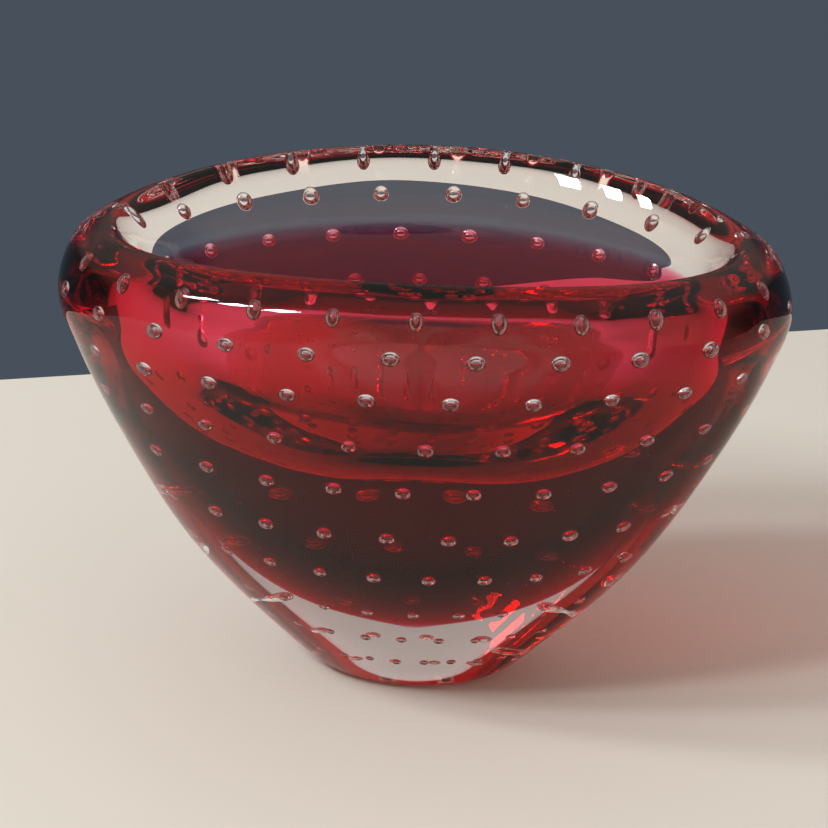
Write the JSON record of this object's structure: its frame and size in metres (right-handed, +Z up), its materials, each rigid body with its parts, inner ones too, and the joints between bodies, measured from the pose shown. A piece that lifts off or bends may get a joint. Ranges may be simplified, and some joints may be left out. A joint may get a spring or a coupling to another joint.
{
  "type": "art glass bowl",
  "caption": "Heavy oval cased glass bowl: clear outer casing over a grid of trapped air bubbles, a fading ruby layer, a clear lining, a rounded rim and a small ground foot",
  "frame": {"origin": "middle of the flat ground foot, on the surface the bowl stands on", "axes": "+X along the long axis of the oval, +Y across it, +Z up out of the cavity"},
  "size_m": [0.14, 0.1002, 0.094],
  "materials": {
    "clear_glass": "fire-polished, clear",
    "ruby_glass": "transparent ruby, inside the clear casing"
  },
  "bodies": {
    "root": {"inner_lining": "clear_glass", "ruby_layer": "ruby_glass", "bubble_gather": "clear_glass", "outer_casing": "clear_glass"}
  },
  "joints": []
}
